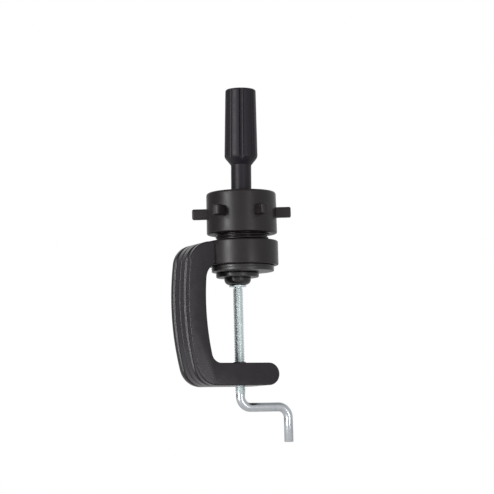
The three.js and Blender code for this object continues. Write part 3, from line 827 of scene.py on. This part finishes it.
def make_pad():
    low, high = box_mm("pad_disc")
    radius = (high.x - low.x) / 2
    piece = turned("pad_face", [
        (0.0, low.z, 0.0), (radius - PAD_DRAFT, low.z, PAD_LOWER_EDGE), (radius, high.z, PAD_UPPER_EDGE),
        (0.0, high.z, 0.0),
    ], SCREW_AXIS)
    # The pad's disc takes the lighter copy of the black plastic, painted brighter.
    stand_for(piece, "pad_disc", "disc_black_painted_lighter")

    low, high = box_mm("pad_cup")
    radius = (high.x - low.x) / 2
    bore = TIP_BALL_RADIUS + GAP
    piece = turned("pad_swivel", [
        (bore, low.z, 0.0), (radius, low.z, PAD_CUP_DOME), (radius - PAD_CUP_TAPER, high.z, 0.0),
        (bore, high.z, 0.0),
    ], SCREW_AXIS, steps=PAD_CUP_STEPS)
    stand_for(piece, "pad_cup")

    low, high = box_mm("pad_washer")
    radius = (high.x - low.x) / 2
    hole = TIP_NECK_RADIUS + GAP
    piece = turned("pad_retainer", [
        (hole, low.z, PAD_WASHER_HOLE_EDGE), (radius, low.z, PAD_WASHER_EDGE),
        (radius, high.z, PAD_WASHER_EDGE), (hole, high.z, PAD_WASHER_HOLE_EDGE),
    ], SCREW_AXIS, SMALL_SIDES)
    # The washer takes the lighter copy of the zinc, painted brighter to show as a bright line.
    stand_for(piece, "pad_washer", "rough_zinc_painted_lighter")


def make_nut_cap():
    low, high = box_mm("nut_cap")
    radius = (high.x - low.x) / 2
    hole = THREAD_RADIUS + GAP
    piece = turned("nut_cover", [
        (hole, low.z, 0.0), (radius, low.z, FINE_EDGE), (radius, LOWER_ARM_TOP, SOFT_EDGE),
        (CAP_SLEEVE_RADIUS, LOWER_ARM_TOP, SOFT_EDGE), (CAP_SLEEVE_RADIUS, high.z, CAP_SLEEVE_EDGE),
        (hole, high.z, FINE_EDGE),
    ], SCREW_AXIS, SMALL_SIDES)
    stand_for(piece, "nut_cap")


# ---- camera, floor and light ------------------------------------------------------------------------

# In metres, but for the lens and its sensor, which are in millimetres.
CAMERA_HEADING = math.radians(25.5)
CAMERA_DISTANCE = 1.5
CAMERA_HEIGHT = -0.135
CAMERA_ROLL = math.radians(1.45)
CAMERA_LENS = 140.0
CAMERA_SENSOR = 36.0
AIM_RIGHT = 0.0037
AIM_HEIGHT = 0.0195
FLOOR_Z = -0.30
FLOOR_HALF_SIZE = 3.0
FLOOR_SHADE = 0.86
FLOOR_ROUGHNESS = 0.9
FLOOR_GLOW = 0.08

# Name, degrees to the right of the camera, height, distance, width, height of its face, and watts.
SOFT_BOXES = [
    ("key", -46.0, 0.25, 1.5, 0.26, 0.9, 10.0),
    ("fill", 28.0, 0.4, 2.0, 0.15, 0.9, 2.0),
    ("low_key", -34.0, -0.17, 0.5, 0.04, 0.18, 0.22),
    ("low_fill", 40.0, -0.18, 0.5, 0.04, 0.14, 0.12),
    ("under_key", -46.0, -0.14, 0.9, 0.2, 0.22, 0.55),
    ("under_fill", 30.0, -0.14, 0.9, 0.12, 0.22, 0.5),
]
SOFT_BOX_AIM = Vector((0.0, 0.0, 0.02))

# A fade holds the cosines of the angles from the middle, where it begins and where it is full.
ROOM_LEVEL = 0.75
LEFT_WALL_ANGLE = -105.0
LEFT_WALL_FADE = (0.57, 0.9)
LEFT_WALL_DROP = 0.47
RIGHT_WALL_ANGLE = 90.0
RIGHT_WALL_FADE = (0.6, 0.98)
RIGHT_WALL_DROP = 0.1
BACKDROP_ANGLE = 180.0
BACKDROP_FADE = (0.75, 0.97)
BACKDROP_GAIN = 0.3
CEILING_FADE = (0.4, 0.9)
CEILING_DROP = 0.4


def view_axes():
    """Unit vectors from the object towards the camera and to the camera's right, both level."""
    towards = Vector((-math.sin(CAMERA_HEADING), -math.cos(CAMERA_HEADING), 0.0))
    right = Vector((math.cos(CAMERA_HEADING), -math.sin(CAMERA_HEADING), 0.0))
    return towards, right


def level_way(angle):
    """A level direction at an angle in degrees to the right of the camera."""
    towards, right = view_axes()
    turn = math.radians(angle)
    return towards * math.cos(turn) + right * math.sin(turn)


def add_camera():
    towards, level_right = view_axes()
    socket = Vector((*SOCKET_AXIS, 0.0)) * MM
    place = socket + towards * CAMERA_DISTANCE + UP * CAMERA_HEIGHT
    aim = socket + level_right * AIM_RIGHT + UP * AIM_HEIGHT
    forward = (aim - place).normalized()
    right = forward.cross(UP).normalized()
    up = right.cross(forward)
    rolled_up = up * math.cos(CAMERA_ROLL) + right * math.sin(CAMERA_ROLL)
    rolled_right = right * math.cos(CAMERA_ROLL) - up * math.sin(CAMERA_ROLL)
    turn = Matrix((rolled_right, rolled_up, -forward)).transposed().to_4x4()
    data = bpy.data.cameras.new("camera")
    data.lens = CAMERA_LENS
    data.sensor_width = CAMERA_SENSOR
    camera = bpy.data.objects.new("camera", data)
    camera.matrix_world = Matrix.Translation(place) @ turn
    bpy.context.scene.collection.objects.link(camera)
    bpy.context.scene.camera = camera


def add_floor():
    size = FLOOR_HALF_SIZE
    corners = [(-size, -size), (size, -size), (size, size), (-size, size)]
    mesh = bpy.data.meshes.new("floor")
    mesh.from_pydata([(x, y, FLOOR_Z) for x, y in corners], [], [(0, 1, 2, 3)])
    material = bpy.data.materials.new("floor")
    material.use_nodes = True
    shader = material.node_tree.nodes["Principled BSDF"]
    shader.inputs["Base Color"].default_value = (FLOOR_SHADE, FLOOR_SHADE, FLOOR_SHADE, 1.0)
    shader.inputs["Roughness"].default_value = FLOOR_ROUGHNESS
    shader.inputs["Emission Color"].default_value = (1.0, 1.0, 1.0, 1.0)
    shader.inputs["Emission Strength"].default_value = FLOOR_GLOW
    mesh.materials.append(material)
    floor = bpy.data.objects.new("floor", mesh)
    bpy.context.scene.collection.objects.link(floor)


def add_soft_box(name, angle, height, distance, width, tall, power):
    """A soft box that the camera doesn't see, aimed at the object."""
    place = level_way(angle) * distance + UP * height
    data = bpy.data.lights.new(name, "AREA")
    data.shape = "RECTANGLE"
    data.size = width
    data.size_y = tall
    data.energy = power
    light = bpy.data.objects.new(name, data)
    light.location = place
    light.rotation_euler = (SOFT_BOX_AIM - place).to_track_quat("-Z", "Y").to_euler()
    light.visible_camera = False
    bpy.context.scene.collection.objects.link(light)


def facing(tree, way, direction, start, end):
    """1 where a world direction lies close to the given one, fading to 0 away from it."""
    dot = tree.nodes.new("ShaderNodeVectorMath")
    dot.operation = "DOT_PRODUCT"
    dot.inputs[1].default_value = direction
    tree.links.new(way, dot.inputs[0])
    fade = tree.nodes.new("ShaderNodeMapRange")
    fade.interpolation_type = "SMOOTHSTEP"
    fade.inputs["From Min"].default_value = start
    fade.inputs["From Max"].default_value = end
    tree.links.new(dot.outputs["Value"], fade.inputs["Value"])
    return fade.outputs["Result"]


def scaled(tree, value, factor, base):
    """value * factor + base"""
    node = tree.nodes.new("ShaderNodeMath")
    node.operation = "MULTIPLY_ADD"
    node.inputs[1].default_value = factor
    tree.links.new(value, node.inputs[0])
    if isinstance(base, float):
        node.inputs[2].default_value = base
    else:
        tree.links.new(base, node.inputs[2])
    return node.outputs["Value"]


def add_world():
    """A white room, darker at both sides and overhead, and brightest behind the object.

    The camera itself sees plain white.
    """
    world = bpy.data.worlds.new("studio")
    bpy.context.scene.world = world
    world.use_nodes = True
    tree = world.node_tree
    way = tree.nodes.new("ShaderNodeTexCoord").outputs["Generated"]
    level = ROOM_LEVEL
    for direction, fade, change in [
        (level_way(LEFT_WALL_ANGLE), LEFT_WALL_FADE, -LEFT_WALL_DROP),
        (level_way(RIGHT_WALL_ANGLE), RIGHT_WALL_FADE, -RIGHT_WALL_DROP),
        (level_way(BACKDROP_ANGLE), BACKDROP_FADE, BACKDROP_GAIN),
        (UP, CEILING_FADE, -CEILING_DROP),
    ]:
        level = scaled(tree, facing(tree, way, direction, *fade), change, level)
    seen = tree.nodes["Background"]
    seen.inputs["Color"].default_value = (1.0, 1.0, 1.0, 1.0)
    seen.inputs["Strength"].default_value = 1.0
    around = tree.nodes.new("ShaderNodeBackground")
    around.inputs["Color"].default_value = (1.0, 1.0, 1.0, 1.0)
    tree.links.new(level, around.inputs["Strength"])
    path = tree.nodes.new("ShaderNodeLightPath")
    mix = tree.nodes.new("ShaderNodeMixShader")
    tree.links.new(path.outputs["Is Camera Ray"], mix.inputs["Fac"])
    tree.links.new(around.outputs["Background"], mix.inputs[1])
    tree.links.new(seen.outputs["Background"], mix.inputs[2])
    tree.links.new(mix.outputs["Shader"], tree.nodes["World Output"].inputs["Surface"])


# ---- build ------------------------------------------------------------------------------------------

bpy.context.scene.view_settings.view_transform = "Standard"
add_camera()
add_floor()
for soft_box in SOFT_BOXES:
    add_soft_box(*soft_box)
add_world()

# Every CAD node starts in its slot's material, which the ones that aren't replaced keep.
for node_name, node_object in frame["nodes"].items():
    node_object.data.materials.clear()
    node_object.data.materials.append(MATERIALS[SLOT_OF_NODE[node_name]])

make_frame()
make_housing()
make_jaw_disc()
make_ball()
make_pressure_ring()
make_collar()
make_post()
make_screw()
make_pad()
make_nut_cap()
